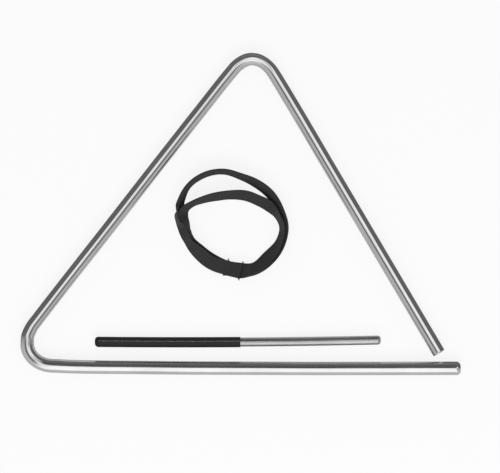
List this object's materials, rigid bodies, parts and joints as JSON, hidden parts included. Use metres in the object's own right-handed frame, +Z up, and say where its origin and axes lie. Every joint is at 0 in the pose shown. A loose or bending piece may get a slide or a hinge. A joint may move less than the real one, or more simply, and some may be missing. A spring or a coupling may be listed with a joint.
{
  "type": "percussion triangle",
  "caption": "Bent steel bar triangle with an open lower corner, a round steel beater with a sleeve grip and a doubled elastic hanging strap.",
  "frame": {"origin": "on the surface that the object lies on, under the middle of its outline", "axes": "+X along the base bar towards its free end, +Y across the triangle towards its top bend, +Z up from the surface"},
  "size_m": [0.2996, 0.2193, 0.0104],
  "materials": {
    "polished_steel": "polished with fine drawing marks along the bar",
    "rod_steel": "satin",
    "grip_sleeve": "satin black",
    "woven_elastic": "woven elastic, charcoal"
  },
  "bodies": {
    "triangle": {"triangle_bar": "polished_steel"},
    "beater": {"beater_rod": "rod_steel", "beater_grip": "grip_sleeve"},
    "strap": {"strap_band": "woven_elastic"}
  },
  "joints": [
    {"name": "beater_lift", "type": "slide", "parent": "triangle", "child": "beater", "axis": [0, 0, 1], "range_m": [0, 0.3]},
    {"name": "strap_lift", "type": "slide", "parent": "triangle", "child": "strap", "axis": [0, 0, 1], "range_m": [0, 0.3]}
  ]
}
